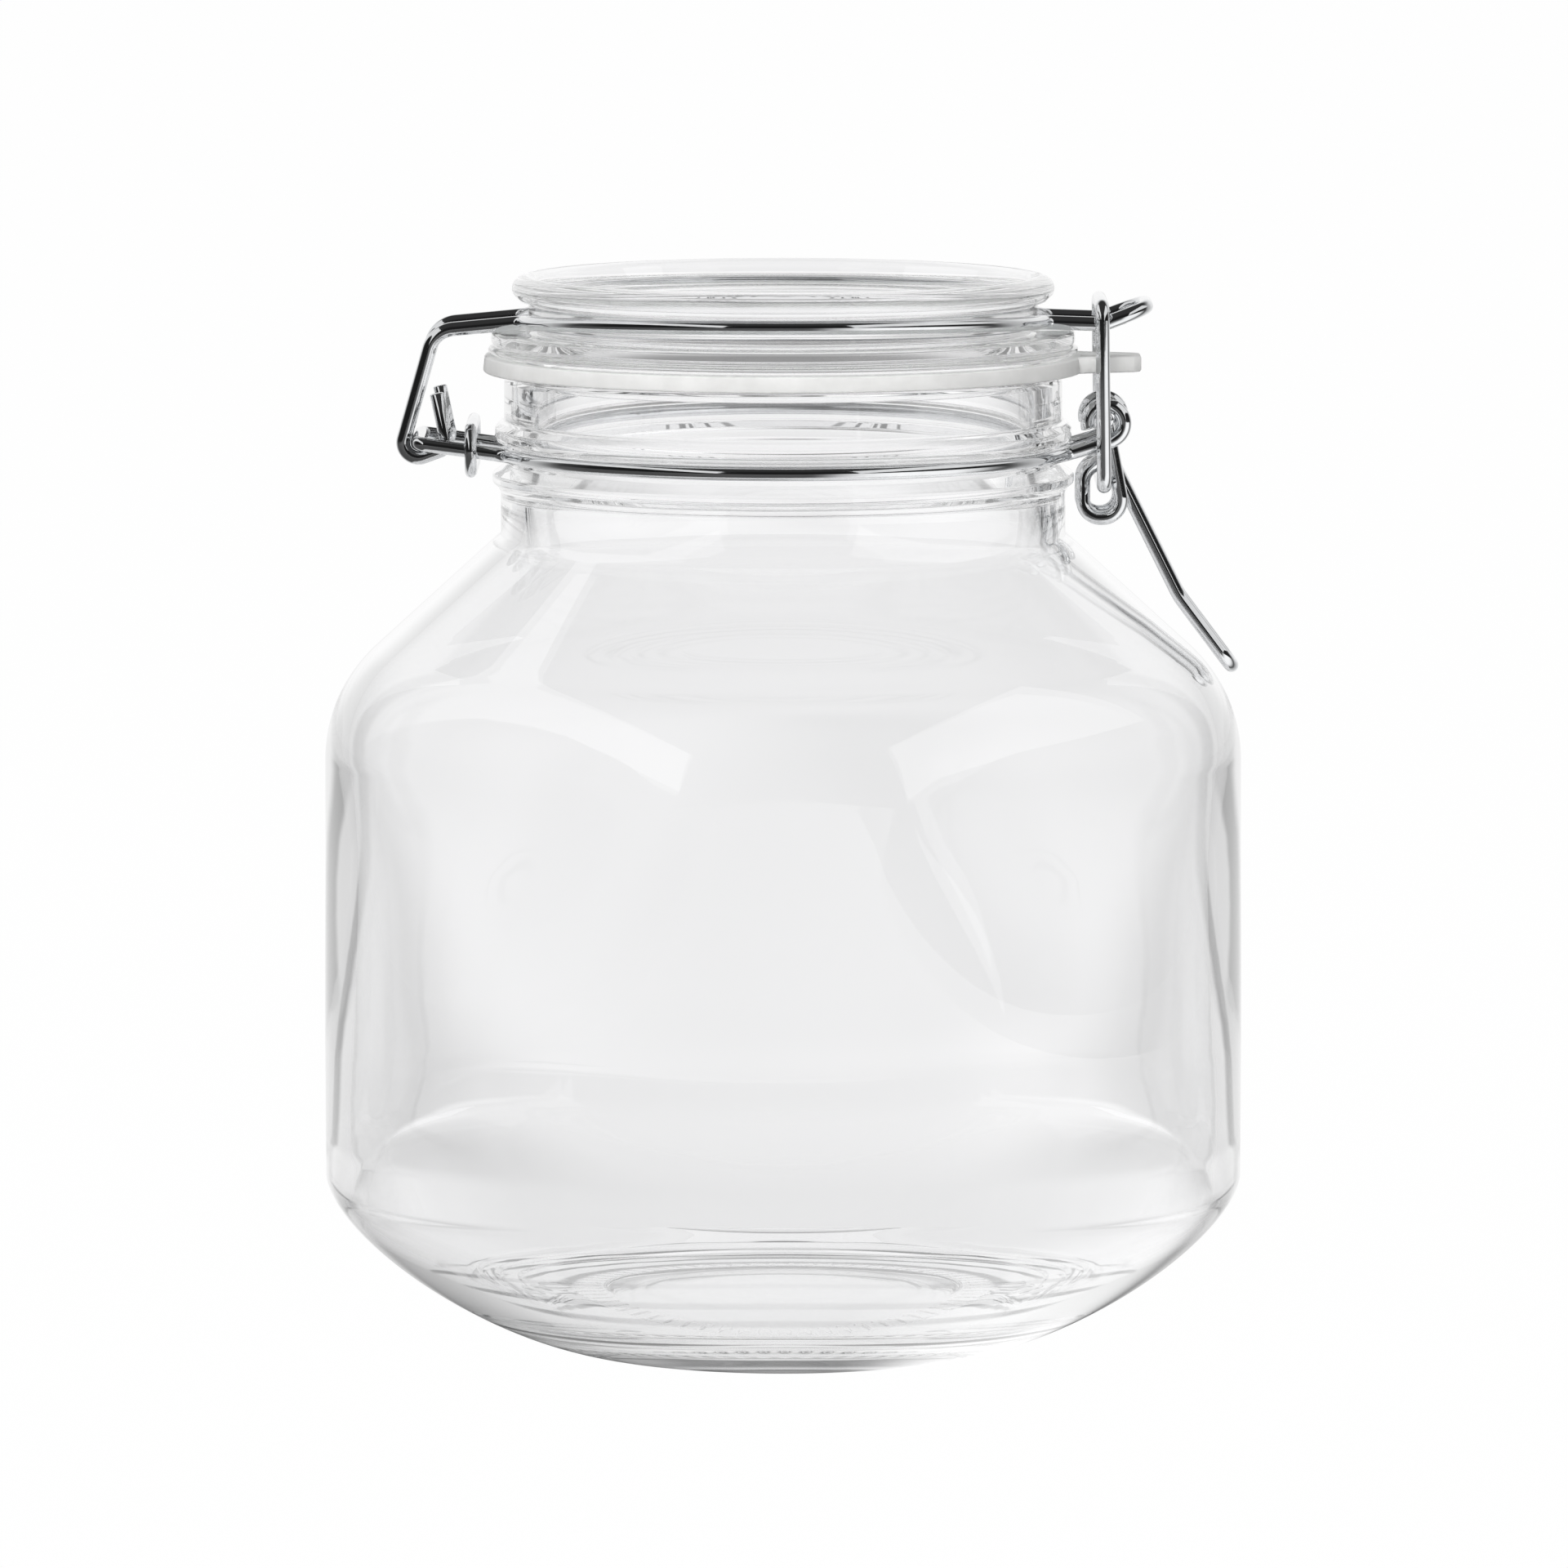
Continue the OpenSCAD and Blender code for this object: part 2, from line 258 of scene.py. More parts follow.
def glass_material(name, tint, wave, scale):
    mat, nt, out = nodes_of(name)
    p = nt.nodes.new("ShaderNodeBsdfPrincipled")
    p.inputs["Base Color"].default_value = (*tint, 1)
    p.inputs["Transmission Weight"].default_value = 1.0
    p.inputs["Roughness"].default_value = 0.0
    p.inputs["IOR"].default_value = 1.5
    n = noise(nt, scale, 1.5, 0.4)
    b = bump(nt, n.outputs["Fac"], wave, 0.001)
    nt.links.new(b.outputs["Normal"], p.inputs["Normal"])
    clear = nt.nodes.new("ShaderNodeBsdfTransparent")
    clear.inputs["Color"].default_value = (0.95, 0.96, 0.96, 1)
    # light that has turned inside the wall four times leaves it, where Cycles would end it as black
    path = nt.nodes.new("ShaderNodeLightPath")
    deep = nt.nodes.new("ShaderNodeMath")
    deep.operation = "GREATER_THAN"
    deep.inputs[1].default_value = LEAVES_GLASS
    nt.links.new(path.outputs["Glossy Depth"], deep.inputs[0])
    bare = nt.nodes.new("ShaderNodeBsdfTransparent")
    inside = nt.nodes.new("ShaderNodeMixShader")
    nt.links.new(deep.outputs[0], inside.inputs["Fac"])
    nt.links.new(p.outputs["BSDF"], inside.inputs[1])
    nt.links.new(bare.outputs["BSDF"], inside.inputs[2])
    mix = nt.nodes.new("ShaderNodeMixShader")
    nt.links.new(path.outputs["Is Shadow Ray"], mix.inputs["Fac"])
    nt.links.new(inside.outputs["Shader"], mix.inputs[1])
    nt.links.new(clear.outputs["BSDF"], mix.inputs[2])
    nt.links.new(mix.outputs["Shader"], out.inputs["Surface"])
    return mat


def wire_material():
    mat, nt, out = nodes_of("bright_wire")
    p = nt.nodes.new("ShaderNodeBsdfPrincipled")
    p.inputs["Metallic"].default_value = 1.0
    n = noise(nt, 260, 3.0, 0.6)
    ramp = nt.nodes.new("ShaderNodeValToRGB")
    ramp.color_ramp.elements[0].position = 0.3
    ramp.color_ramp.elements[0].color = (0.7, 0.71, 0.72, 1)
    ramp.color_ramp.elements[1].position = 0.7
    ramp.color_ramp.elements[1].color = (0.78, 0.79, 0.8, 1)
    nt.links.new(n.outputs["Fac"], ramp.inputs["Fac"])
    nt.links.new(ramp.outputs["Color"], p.inputs["Base Color"])
    mr = nt.nodes.new("ShaderNodeMapRange")
    mr.inputs["To Min"].default_value = 0.04
    mr.inputs["To Max"].default_value = 0.1
    nt.links.new(n.outputs["Fac"], mr.inputs["Value"])
    nt.links.new(mr.outputs["Result"], p.inputs["Roughness"])
    fine = noise(nt, 900, 2.0, 0.5)
    b = bump(nt, fine.outputs["Fac"], 0.008, 0.0003)
    nt.links.new(b.outputs["Normal"], p.inputs["Normal"])
    nt.links.new(p.outputs["BSDF"], out.inputs["Surface"])
    return mat


def gasket_material():
    mat, nt, out = nodes_of("milky_rubber")
    p = nt.nodes.new("ShaderNodeBsdfPrincipled")
    n = noise(nt, 180, 3.0, 0.6)
    ramp = nt.nodes.new("ShaderNodeValToRGB")
    ramp.color_ramp.elements[0].position = 0.35
    ramp.color_ramp.elements[0].color = (0.76, 0.76, 0.75, 1)
    ramp.color_ramp.elements[1].position = 0.65
    ramp.color_ramp.elements[1].color = (0.83, 0.83, 0.82, 1)
    nt.links.new(n.outputs["Fac"], ramp.inputs["Fac"])
    nt.links.new(ramp.outputs["Color"], p.inputs["Base Color"])
    p.inputs["Roughness"].default_value = 0.5
    p.inputs["Subsurface Weight"].default_value = 0.25
    p.inputs["Subsurface Radius"].default_value = (1.0, 1.0, 1.0)
    p.inputs["Subsurface Scale"].default_value = 0.002
    fine = noise(nt, 700, 2.0, 0.5)
    b = bump(nt, fine.outputs["Fac"], 0.15, 0.0003)
    nt.links.new(b.outputs["Normal"], p.inputs["Normal"])
    nt.links.new(p.outputs["BSDF"], out.inputs["Surface"])
    return mat


JAR_GLASS = glass_material("jar_glass", (0.99, 0.99, 0.993), 0.03, 20)
LID_GLASS = glass_material("lid_glass", (0.985, 0.985, 0.99), 0.02, 25)
STEEL = wire_material()
RUBBER = gasket_material()


# ---------------------------------------------------------------- glass jar
def plan_power(z):
    """Squareness of the plan at a height: round base, square body, round neck."""
    if z < HEEL:
        return 2.0 + 1.1 * (z / HEEL) ** 1.4
    return 3.1 - 1.1 * smooth01((z - SQUAREST) / SQUAREST)


def heel_rows(side, foot, height, count, q):
    """The heel's profile, from the foot up to the side: a quarter of a superellipse of power q."""
    rows = []
    for i in range(count + 1):
        s = max(0.0, math.cos(math.pi / 2 * i / count))
        w = side - (side - foot) * (1 - (1 - s ** q) ** (1 / q))
        rows.append((w, height * (1 - s)))
    return rows


def shoulder_rows(side, r0, z0, rad, count):
    """An arc of radius rad from the side, then a straight slope up to the neck at (r0, z0)."""
    zc = z0 - (side - r0) * math.tan(SLOPE) - rad * math.tan((math.pi / 2 - SLOPE) / 2)
    rows = []
    for i in range(count + 1):
        a = (math.pi / 2 - SLOPE) * i / count
        rows.append((side - rad + rad * math.cos(a), zc + rad * math.sin(a)))
    last = rows[-1]
    for i in range(1, 12):
        t = i / 12
        rows.append((last[0] + (r0 - last[0]) * t, last[1] + (z0 - last[1]) * t))
    return rows


def neck_rows():
    """The neck from the shoulder up, with its beads and wire groove, over the rim and down inside."""
    neck = [(NECK, SHOULDER_TOP), (NECK, ZR - 19.2), (NECK + 0.4, ZR - 18.2), (NECK + 1.3, ZR - 17.4),
            (NECK + 1.35, ZR - 16.1), (NECK - 0.9, ZR - 14.5), (NECK - 1.45, ZR - 13.7),
            (NECK - 1.45, ZR - 11.3), (NECK + 0.6, ZR - 10.9), (NECK + 0.95, ZR - 10.2),
            (NECK + 0.95, ZR - 8.9), (NECK + 0.2, ZR - 8.0), (NECK - 0.55, ZR - 7.6),
            (NECK - 0.55, ZR - 1.6), (NECK - 0.9, ZR), (42.5, ZR), (MOUTH + 1.2, ZR), (MOUTH, ZR - 1.6),
            (MOUTH, ZR - 12)]
    radii = [0, 1.5, 0.8, 0.6, 0.6, 0.8, 0.6, 0.6, 0.4, 0.35, 0.5, 0.5, 0.5, 1.0, 1.0, 0, 1.0, 1.0, 0]
    return [(p[0], p[1]) for p in rounded(neck, radii, 15)]


def outer_rows(heel):
    """The outside from the foot up, and over the rim."""
    rows = list(heel)
    for i in range(1, 12):
        t = i / 12
        rows.append((HALF - LEAN + LEAN * t, HEEL + (BODY_TOP - HEEL) * t))
    return rows + shoulder_rows(HALF, NECK, SHOULDER_TOP, SHOULDER_R, 16) + neck_rows()


def heel_lift(z):
    """How far the inside of the heel lies above the outside."""
    return LIFT * smooth01(1 - z / HEEL)


def inner_rows(heel):
    """The inside from the mouth down to the middle of the floor."""
    side, top, low = HALF - WALL, 92.5, 31
    rows = [(MOUTH, ZR - 20)] + shoulder_rows(side, MOUTH, 128.9, SHOULDER_R - WALL, 16)[::-1]
    for i in range(1, 12):
        t = i / 12
        rows.append((side - LEAN * t, top - (top - low) * t))
    # nearly level with the outside, so that the rings in the base show through it in their places
    rows += [(w - WALL, z + heel_lift(z)) for w, z in heel if w - WALL > FLOOR_EDGE][::-1]
    # the edge of the floor and the rings pressed into it
    w, z = rows[-1]
    press = [(w, z), (w - 0.5, z - 0.15), (w - 1.2, z - 1.1), (w - 3.4, z - 1.2), (w - 4.2, z - 2.0),
             (w - 7.2, z - 2.1), (w - 7.8, z - 2.7), (w - 11, z - 2.8), (30, z - 2.8), (10, z - 2.7),
             (4, z - 2.6)]
    radii = [0, 0.3, 0.3, 0.3, 0.3, 0.3, 0.3, 1, 3, 0, 0]
    return rows + [(p[0], p[1]) for p in rounded(press, radii, 15)][1:]


INSIDE_LAG = 3.4  # how much further up the inside turns round than the outside


def inner_power(w, z):
    """Squareness of the inside: that of the outside it lies behind, and a round floor."""
    if w <= FLOOR_EDGE:
        return 2.0
    level = max(z - INSIDE_LAG, SQUAREST) if z > SQUAREST else z - heel_lift(z)
    return plan_power(max(level, 0))


# the hollow under the base, from the middle out to the foot
UNDERSIDE = [(4, 2.45), (14, 2.4), (20, 2.3), (24.5, 1.9), (25.5, 1.2), (27.5, 1.0), (28.3, 0.3), (29, 0.05),
             (30, 0.0), (31, 0.0), (32, 0.0)]
NOTCH, NOTCH_STEP = 0.35, 6  # depth of the fine notches round the foot, and points from one to the next
HEEL_POWER = 1.46


def build_jar():
    count = 384
    heel = heel_rows(HALF - LEAN, FOOT, HEEL, 40, HEEL_POWER)
    rings = []
    for w, z in UNDERSIDE + outer_rows(heel):
        ring = plan_ring(w, 2.0 if w < 32.5 and z < 5 else plan_power(z), z, count)
        if 30.5 < w < 33.2 and z < 0.1:
            ring = [(x, y, h + (NOTCH if k % NOTCH_STEP < 2 else 0.0)) for k, (x, y, h) in enumerate(ring)]
        rings.append(ring)
    for w, z in inner_rows(heel):
        rings.append(plan_ring(w, inner_power(w, z), z, count))
    verts, faces = loft(rings, True)
    return add_mesh("jar_glass_body", verts, faces, "jar", JAR_GLASS, "glass_jar")


def revolve(profile, count=192):
    """Verts and faces of a profile of (radius, height) turned round the Z axis."""
    rings = [plan_ring(max(r, 0.02), 2.0, z, count) for r, z in profile]
    return loft(rings, True)


def build_lid():
    # radius of the flange, top of the lid, radius of the groove round it
    f, t, g = 46.6, ZG + 12.5, 40.2
    low = [(1, ZG + 3.0), (MOUTH - 8, ZG + 2.6), (MOUTH - 5.5, ZG + 0.4), (MOUTH - 4.6, ZG - 4.2),
           (MOUTH - 3.5, ZG - 4.6), (MOUTH - 2.2, ZG - 4.4), (MOUTH - 1.9, ZG - 3.6), (MOUTH - 1.9, ZG),
           (f - 0.9, ZG), (f, ZG + 0.6), (f, ZG + 1.2), (f - 1.1, ZG + 1.6), (f - 0.5, ZG + 2.1),
           (f - 0.5, ZG + 3.6), (f - 1.2, ZG + 3.8), (g, ZG + 3.8), (g, t - 3.9), (f - 5, t - 3.85)]
    radii = [0, 3, 1.5, 0.8, 0.5, 0.5, 0.5, 0.3, 0.6, 0.4, 0.4, 0.4, 0.4, 0.4, 0.5, 0.7, 0.6, 0]
    prof = [(p[0], p[1]) for p in rounded(low, radii, 15)]
    for a in range(-80, 91, 10):
        s, c = math.sin(math.radians(a)), math.cos(math.radians(a))
        prof.append((f - 6 + 2.25 * c, t - 2 + (1.9 if a < 0 else 2.0) * s))
    top = [(f - 6.3, t), (f - 7.6, t - 0.5), (f - 9, t - 2.6), (f - 11, t - 3.8), (12, t - 4.3),
           (1, t - 4.4)]
    prof += [(p[0], p[1]) for p in rounded(top, [0, 1.2, 1.6, 3, 0, 0], 15)]
    verts, faces = revolve(prof)
    return add_mesh("lid_glass_body", verts, faces, "lid", LID_GLASS, "glass_lid")


def build_gasket():
    outer, under, reach = NECK + 2.5, ZR + 0.05, 56.5
    count = 240
    section = [(MOUTH + 1, under), (MOUTH - 0.9, under), (MOUTH - 0.9, ZG), (outer, ZG),
               (outer + 0.25, under), (MOUTH + 1, under)]
    prof = rounded(section, [0, 0.3, 0.3, 0.35, 0.3, 0], 30)
    rings = [plan_ring(p[0], 2.0, p[1], count) for p in prof[:-1]]
    verts = [v for ring in rings for v in ring]
    faces = []
    for i in range(len(rings)):
        j = (i + 1) % len(rings)
        for k in range(count):
            nxt = (k + 1) % count
            faces.append((i * count + nxt, i * count + k, j * count + k, j * count + nxt))
    add_mesh("gasket_ring", verts, faces, "lid", RUBBER, "sealing_gasket")
    edge = [(outer - 1.2, 8.4), (outer + 1.4, 7.0), (outer + 4.4, 6.0), (reach - 1.2, 4.6), (reach, 3.2)]
    corners = [(x, -y, 0) for x, y in edge] + [(x, y, 0) for x, y in edge[::-1]]
    outline = rounded(corners, [0, 3, 3, 1, 1, 1, 1, 3, 3, 0], 15)
    rings = []
    for z, inset in ((under + 0.04, 0.3), (under + 0.3, 0), (ZG - 0.35, 0), (ZG - 0.06, 0.3)):
        rings.append([(p[0] - inset * 0.7, p[1] * (1 - inset * 0.05), z) for p in outline])
    verts, faces = loft(rings, True)
    add_mesh("gasket_tab", verts, faces, "lid", RUBBER)


# ---------------------------------------------------------------- clamp wires
def both_sides(half_path, radii):
    """Mirrors half a path (which ends on the middle plane) and joins the two halves."""
    full = [np.array(p, float) for p in half_path]
    back = [np.array([p[0], -p[1], p[2]]) for p in full[:-1]][::-1]
    return full[:-1] + back, radii[:-1] + radii[:-1][::-1]


def wrap(p, d1, d2, r):
    """The corner between directions d1 and d2 whose bend of radius r has its centre at p."""
    turn = math.acos(float(d1 @ d2))
    return p + r * (math.tan(turn / 2) * d1 - unit(d2 - d1 * (d1 @ d2)))


LOOP_R = 2.9  # of the loops at the wire's ends, which the lever turns in
LOOP_STEPS, LOOP_TURN = 46, math.radians(272)


def build_neck_wire():
    k, rr, z = math.radians(20), NECK - 0.15, ZR - 12.6
    t = np.array([rr * math.cos(k), -rr * math.sin(k), z])
    s = np.array([math.sin(k), math.cos(k), 0])
    ch = t + s * ((-Y_HINGE - t[1]) / s[1])
    tail = t + s * ((-Y_EYE - t[1]) / s[1])
    dx, dz = EYE[0] - tail[0], EYE[2] - z
    slope = math.atan2(dz, dx) - math.asin(LOOP_R / math.hypot(dx, dz))
    reach = math.sqrt(dx * dx + dz * dz - LOOP_R ** 2)
    touch = tail + np.array([reach * math.cos(slope), 0, reach * math.sin(slope)])
    loop = []
    for i in range(LOOP_STEPS, 0, -1):
        a = slope - math.pi / 2 + LOOP_TURN * i / LOOP_STEPS
        loop.append(np.array([EYE[0] + LOOP_R * math.cos(a), -Y_EYE, EYE[2] + LOOP_R * math.sin(a)]))
    mid = [touch, tail, np.array([0, -rr / math.sin(k), z]), np.array([-ch[0], -Y_HINGE, z]),
           np.array([HINGE[0], -Y_HINGE, HINGE[2]]), HINGE]
    pts, rad = both_sides(mid, [0, 1.9, rr, 2.6, 1.3, 0])
    path = rounded(pts, rad, 3)
    back = [np.array([p[0], -p[1], p[2]]) for p in loop][::-1]
    verts, faces = tube(loop + path + back, R)
    return add_mesh("neck_bail_wire", verts, faces, "jar", STEEL, "neck_wire")


def build_lid_wire():
    k, rr, z = math.radians(17), 41.6, ZG + 5.6
    t = np.array([rr * math.cos(k), -rr * math.sin(k), z])
    s = np.array([math.sin(k), math.cos(k), 0])
    ch = t + s * ((-Y_HOOK - t[1]) / s[1])
    cn = t + s * ((-Y_NOSE - t[1]) / s[1])
    leg = unit(np.array([-0.274, 0, -0.962]))
    under = unit(np.array([0.94, 0, 0.342]))
    stub = unit(np.array([-0.2, 0, 0.98]))
    j1 = wrap(HINGE, leg, under, WIRE + 0.15)
    knee = j1 - leg * ((z - 1.3 - j1[2]) / -leg[2])
    j2 = j1 + under * 8.77
    end = j2 + stub * 8.8
    off = np.array([0, -Y_HOOK, 0])
    half = [end + off, j2 + off, j1 + off, knee + off, np.array([-ch[0], -Y_HOOK, z]),
            np.array([0, -rr / math.sin(k), z + 6.3]), np.array([cn[0], -Y_NOSE, z]),
            np.array([CATCH[0] + 0.3, -Y_NOSE, z - 0.3]), np.array([CATCH[0] + 7.1, -Y_NOSE, z + 2.25]),
            np.array([CATCH[0] + 7.1, 0, z + 2.25])]
    pts, rad = both_sides(half, [0, 1.6, WIRE + 0.15, 4.3, 2, rr, 2, 4, 4.5, 0])
    verts, faces = tube(rounded(pts, rad, 3), R)
    return add_mesh("lid_bail_wire", verts, faces, "lid", STEEL, "lid_wire")


def build_lever():
    out = unit(np.array([0.6, 0, -0.8]))
    x, z = AXLE[0], AXLE[2]
    p6 = np.array([x + 11.7, -Y_HANDLE, z - 28.3])
    p7 = p6 + out * 14
    half = [(x, -Y_EYE - 1.2, z), (x, -Y_ARM, z), (x + 3, -Y_ARM, z - 15.7),
            (x - 3.6, -Y_ARM + 0.7, z - 15.7), (x - 3.55, -Y_ARM + 1.5, z - 8.7),
            (x + 0.4, -Y_HANDLE, z - 5.7), p6, p7, (p7[0], 0, p7[2])]
    pts, rad = both_sides(half, [0, 1.5, 3, 2.8, 3, 2, 12, 3, 0])
    verts, faces = tube(rounded(pts, rad, 5), R)
    return add_mesh("lever_wire", verts, faces, "lever", STEEL, "clamp_lever")


def build_link():
    a, b = PIVOT, CATCH
    pts = [a, (a[0], -Y_LINK, a[2]), (b[0], -Y_LINK, b[2]), (b[0], Y_LINK, b[2]), (a[0], Y_LINK, a[2]), a]
    path = rounded(pts, [0, 2.2, 2.2, 2.2, 2.2, 0], 6)
    verts, faces = tube(path[:-1], R, closed=True)
    return add_mesh("link_wire", verts, faces, "link", STEEL, "clasp_link")


def build_clip():
    x, z, r, y = HINGE[0] + 8.3, ZR - 11.8, 3.4, Y_HINGE - 0.9
    path = []
    for i in range(25):
        a = math.pi / 2 + math.pi * i / 24
        path.append((x, -y + r * math.cos(a), z + r * math.sin(a)))
    for i in range(25):
        a = -math.pi / 2 + math.pi * i / 24
        path.append((x, y + r * math.cos(a), z + r * math.sin(a)))
    verts, faces = tube(path, 0.95, sides=16, closed=True)
    return add_mesh("clip_wire", verts, faces, "jar", STEEL, "collar_clip")


build_jar()
build_lid()
build_gasket()
build_neck_wire()
build_lid_wire()
build_lever()
build_link()
build_clip()


# ---------------------------------------------------------------- studio
def stage_sheet(name, corners, material, place=(0, 0, 0)):
    """One flat face of the studio, which isn't part of the object, with its origin at place."""
    me = bpy.data.meshes.new(name)
    me.from_pydata(corners, [], [tuple(range(len(corners)))])
    ob = bpy.data.objects.new(name, me)
    scene.collection.objects.link(ob)
    ob.location = place
    me.materials.append(material)
    return ob


def math_node(nt, op, a, b=None):
    n = nt.nodes.new("ShaderNodeMath")
    n.operation = op
    for i, v in enumerate((a, b)):
        if v is None:
            continue
        if isinstance(v, (int, float)):
            n.inputs[i].default_value = v
        else:
            nt.links.new(v, n.inputs[i])
    return n.outputs[0]


def ramp_node(nt, value, stops):
    """Brightness that changes smoothly through (position, level) stops."""
    r = nt.nodes.new("ShaderNodeValToRGB")
    r.color_ramp.interpolation = "EASE"
    els = r.color_ramp.elements
    els[0].position, els[0].color = stops[0][0], (*[stops[0][1]] * 3, 1)
    els[1].position, els[1].color = stops[-1][0], (*[stops[-1][1]] * 3, 1)
    for p, v in stops[1:-1]:
        els.new(p).color = (v, v, v, 1)
    nt.links.new(value, r.inputs["Fac"])
    return r.outputs["Color"]


# How bright the room is round the jar, as seen through glass and as mirrored: 0 is behind the jar
# and 1 is in front of it.
THROUGH = [(0.0, 1.0), (0.05, 1.0), (0.12, 0.72), (0.19, 0.64), (0.203, 0.25), (0.225, 0.25),
           (0.25, 0.8), (0.58, 0.85), (0.7, 0.25), (0.8, 0.08), (1.0, 0.08)]
MIRRORED = [(0.0, 1.0), (0.2, 0.95), (0.33, 0.6), (0.45, 0.05), (0.55, 0.015), (1.0, 0.015)]
# How bright the floor is under the jar, seen through glass, in tenths of a metre from the middle:
# painted shade in thin rings, a painted contact shadow by the foot and painted rings for the base's dark
# lines.
UNDER_WITH_PAINTED_RINGS = [(0.0, 0.95), (0.335, 0.95), (0.345, 0.3), (0.36, 0.3), (0.37, 0.93)]
# painted shade rings outside the foot: radius, width and level of each, in tenths of a metre
PAINTED_SHADE_RINGS = [(0.42, 0.012, 0.12), (0.485, 0.012, 0.12), (0.54, 0.016, 0.12), (0.615, 0.014, 0.2)]
SOFT_EDGE = 0.005
for ring, width, painted_shade in PAINTED_SHADE_RINGS:
    near_edge, far_edge = ring - width / 2, ring + width / 2
    UNDER_WITH_PAINTED_RINGS += [(near_edge - SOFT_EDGE, 0.95), (near_edge, painted_shade),
              (far_edge, painted_shade), (far_edge + SOFT_EDGE, 0.95)]
UNDER_WITH_PAINTED_RINGS.append((1.0, 0.95))


def vector_math(nt, operation, vector, other=None):
    n = nt.nodes.new("ShaderNodeVectorMath")
    n.operation = operation
    nt.links.new(vector, n.inputs[0])
    if other:
        n.inputs[1].default_value = other
    return n.outputs["Value" if operation in ("LENGTH", "DOT_PRODUCT") else "Vector"]


def blend(nt, share, a, b):
    """Colour a turning into colour b as share goes from 0 to 1; b may be a plain level."""
    n = nt.nodes.new("ShaderNodeMix")
    n.data_type = "RGBA"
    nt.links.new(share, n.inputs[0])
    nt.links.new(a, n.inputs[6])
    if isinstance(b, float):
        n.inputs[7].default_value = (b, b, b, 1)
    else:
        nt.links.new(b, n.inputs[7])
    return n.outputs[2]


def through_glass(nt):
    """1 for what is seen through glass, 0 for what is mirrored."""
    path = nt.nodes.new("ShaderNodeLightPath")
    deep = math_node(nt, "GREATER_THAN", path.outputs["Glossy Depth"], LEAVES_GLASS)
    return math_node(nt, "MAXIMUM", path.outputs["Is Transmission Ray"], deep)


def room_level(nt, vector):
    """How bright the room is the way a vector points: the same left and right, one level overhead."""
    way = vector_math(nt, "NORMALIZE", vector)
    sep = nt.nodes.new("ShaderNodeSeparateXYZ")
    nt.links.new(way, sep.inputs["Vector"])
    side = math_node(nt, "ABSOLUTE", sep.outputs["X"])
    turn = math_node(nt, "ARCTAN2", side, sep.outputs["Y"])
    turn = math_node(nt, "DIVIDE", turn, math.pi)
    seen = through_glass(nt)
    ring = blend(nt, seen, ramp_node(nt, turn, MIRRORED), ramp_node(nt, turn, THROUGH))
    overhead = ramp_node(nt, seen, [(0.0, 0.04), (1.0, 0.3)])
    return blend(nt, ramp_node(nt, sep.outputs["Z"], [(0.4, 0.0), (0.8, 1.0)]), ring, overhead)


GLASS_SHARE, CAMERA_SHARE = 0.9, 0.99  # how much of the floor is its own glow, by what sees it


def floor_material():
    mat, nt, out = nodes_of("white_floor")
    d = nt.nodes.new("ShaderNodeBsdfDiffuse")
    n = noise(nt, 3, 2.0, 0.5)
    nt.links.new(ramp_node(nt, n.outputs["Fac"], [(0.3, 0.88), (0.7, 0.9)]), d.inputs["Color"])
    place = nt.nodes.new("ShaderNodeNewGeometry").outputs["Position"]
    # what glass and metal show of it: bright under the jar with painted shade rings, the room's level
    # further off, and a soft glow on the right
    far = vector_math(nt, "LENGTH", place)
    way = vector_math(nt, "NORMALIZE", place)
    right = vector_math(nt, "DOT_PRODUCT", way, (0.82, -0.57, 0.0))
    through = through_glass(nt)
    narrow = ramp_node(nt, right, [(0.7, 0.0), (1.0, 1.0)])
    wide = ramp_node(nt, right, [(0.3, 0.0), (1.0, 1.0)])
    glow = blend(nt, through, narrow, wide)
    level = blend(nt, glow, room_level(nt, place), 1.3)
    # the floor under the jar as glass shows it, with its painted shade rings
    painted_rings_under_jar = ramp_node(nt, math_node(nt, "MULTIPLY", far, 10.0), UNDER_WITH_PAINTED_RINGS)
    near = math_node(nt, "MULTIPLY", ramp_node(nt, far, [(0.1, 1.0), (0.24, 0.0)]), through)
    level = blend(nt, near, level, painted_rings_under_jar)
    e = nt.nodes.new("ShaderNodeEmission")
    nt.links.new(level, e.inputs["Color"])
    white = nt.nodes.new("ShaderNodeEmission")
    path = nt.nodes.new("ShaderNodeLightPath")
    seen = math_node(nt, "MAXIMUM", path.outputs["Is Glossy Ray"], path.outputs["Is Transmission Ray"])
    m1 = nt.nodes.new("ShaderNodeMixShader")
    nt.links.new(math_node(nt, "MULTIPLY", seen, GLASS_SHARE), m1.inputs["Fac"])
    nt.links.new(d.outputs["BSDF"], m1.inputs[1])
    nt.links.new(e.outputs["Emission"], m1.inputs[2])
    m2 = nt.nodes.new("ShaderNodeMixShader")
    camera_part = math_node(nt, "MULTIPLY", path.outputs["Is Camera Ray"], CAMERA_SHARE)
    nt.links.new(camera_part, m2.inputs["Fac"])
    nt.links.new(m1.outputs["Shader"], m2.inputs[1])
    nt.links.new(white.outputs["Emission"], m2.inputs[2])
    nt.links.new(m2.outputs["Shader"], out.inputs["Surface"])
    return mat


FLOOR_HALF, FLOOR_PLACE = 8, (0, 4.5, -0.0003)  # most of it behind the jar, and just under the foot
FLOOR_CORNERS = [(x * FLOOR_HALF, y * FLOOR_HALF, 0) for x, y in ((-1, -1), (1, -1), (1, 1), (-1, 1))]
stage_sheet("floor", FLOOR_CORNERS, floor_material(), FLOOR_PLACE)


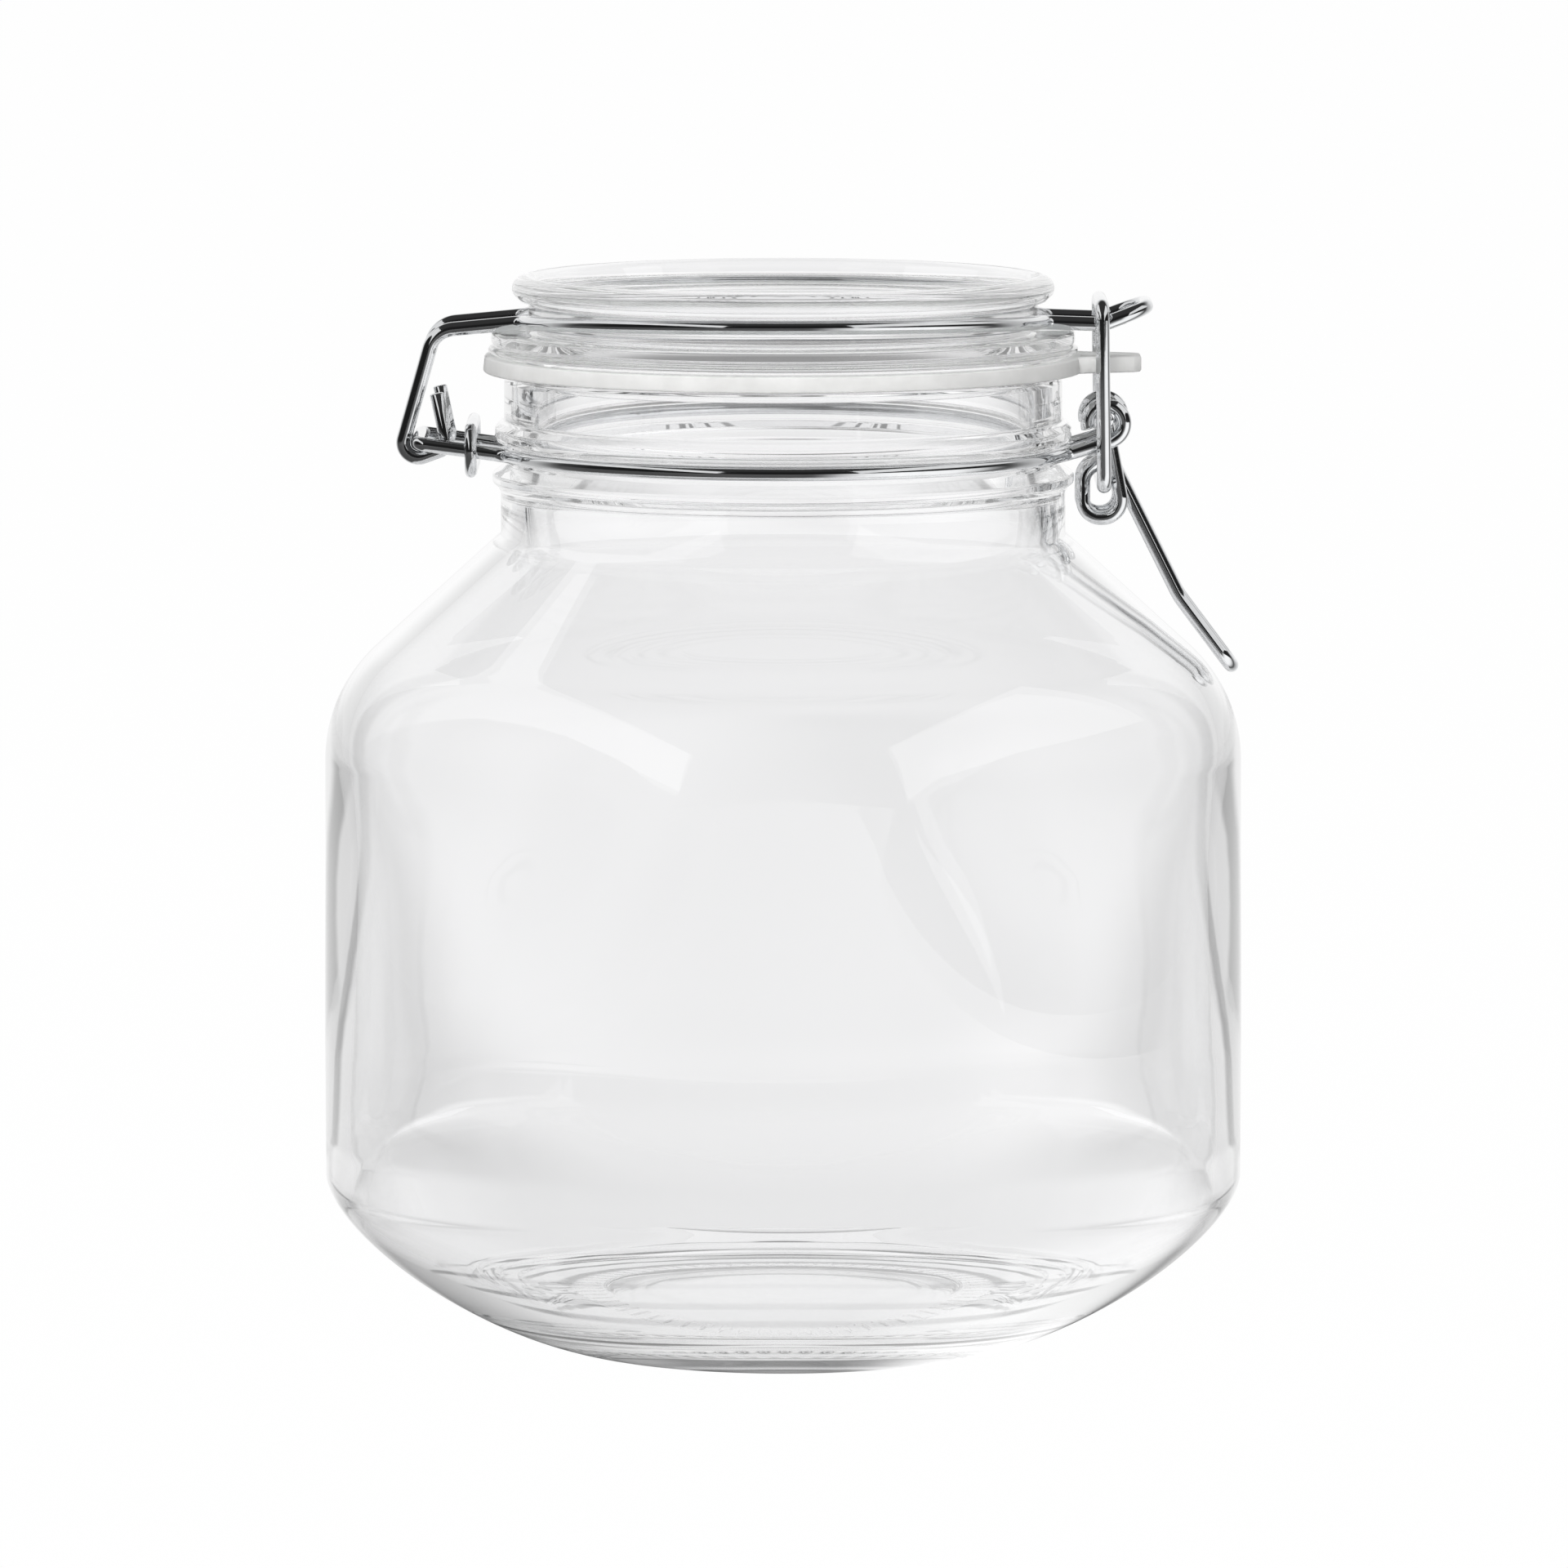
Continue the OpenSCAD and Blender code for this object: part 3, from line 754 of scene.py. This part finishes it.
def build_world():
    """The room, and a plain grey background where the camera looks past the floor."""
    world = bpy.data.worlds.new("studio")
    scene.world = world
    world.use_nodes = True
    nt = world.node_tree
    nt.nodes.clear()
    out = nt.nodes.new("ShaderNodeOutputWorld")
    way = nt.nodes.new("ShaderNodeTexCoord").outputs["Generated"]
    path = nt.nodes.new("ShaderNodeLightPath")
    room = nt.nodes.new("ShaderNodeBackground")
    nt.links.new(room_level(nt, way), room.inputs["Color"])
    plain = nt.nodes.new("ShaderNodeBackground")
    mix = nt.nodes.new("ShaderNodeMixShader")
    nt.links.new(path.outputs["Is Camera Ray"], mix.inputs["Fac"])
    nt.links.new(room.outputs["Background"], mix.inputs[1])
    nt.links.new(plain.outputs["Background"], mix.inputs[2])
    nt.links.new(mix.outputs["Shader"], out.inputs["Surface"])


build_world()


def window(name, x, outline, level):
    """An upright glowing sheet beside the jar, which only the jar shows; white is a level of 1."""
    mat, nt, out = nodes_of(name + "_light")
    e = nt.nodes.new("ShaderNodeEmission")
    e.inputs["Strength"].default_value = level
    nt.links.new(e.outputs["Emission"], out.inputs["Surface"])
    ob = stage_sheet(name, [(x, y, z) for y, z in outline], mat)
    ob.visible_camera = False


LEFT_OUTLINE = [(-1.7, 0.3), (-1.7, 1.3), (0.65, 1.3), (0.65, 0.14), (0.3, 0.42),
                (0.056, 0.63), (-0.2, 0.72), (-0.41, 0.74), (-0.8, 0.65), (-1.3, 0.45)]
RIGHT_OUTLINE = [(-1.4, 0.1), (-1.4, 1.3), (0.3, 1.3), (0.3, 0.45), (-0.4, 0.5), (-1.0, 0.4)]
window("window_left", -0.8, LEFT_OUTLINE, 0.9)
window("window_right", 0.8, RIGHT_OUTLINE, 0.9)


def lamp(name, loc, size, power):
    """A soft lamp that lights dull surfaces and isn't mirrored in the glass or the wires."""
    light = bpy.data.lights.new(name, "AREA")
    light.size = size
    light.energy = power
    ob = bpy.data.objects.new(name, light)
    scene.collection.objects.link(ob)
    ob.location = loc
    ob.rotation_euler = (Vector((0, 0, 0.1)) - Vector(loc)).to_track_quat("-Z", "Y").to_euler()
    ob.visible_glossy = False
    ob.visible_transmission = False


lamp("front_lamp", (-0.5, -1.6, 1.5), 1.5, 48)

# ---------------------------------------------------------------- camera, matched to the photograph
FOCAL_LENGTH, PHOTO_WIDTH = 13980, 1920  # in pixels
cam_data = bpy.data.cameras.new("camera")
cam = bpy.data.objects.new("camera", cam_data)
scene.collection.objects.link(cam)
cam_data.sensor_width = 36
cam_data.lens = FOCAL_LENGTH / PHOTO_WIDTH * cam_data.sensor_width
cam_data.clip_start = 0.05
cam_data.clip_end = 50
pitch = math.radians(6.461)
cam.location = (0.00013, -1.8, 0.293)
cam.rotation_euler = (math.pi / 2 - pitch, 0, 0)
scene.camera = cam
scene.view_settings.view_transform = "Standard"
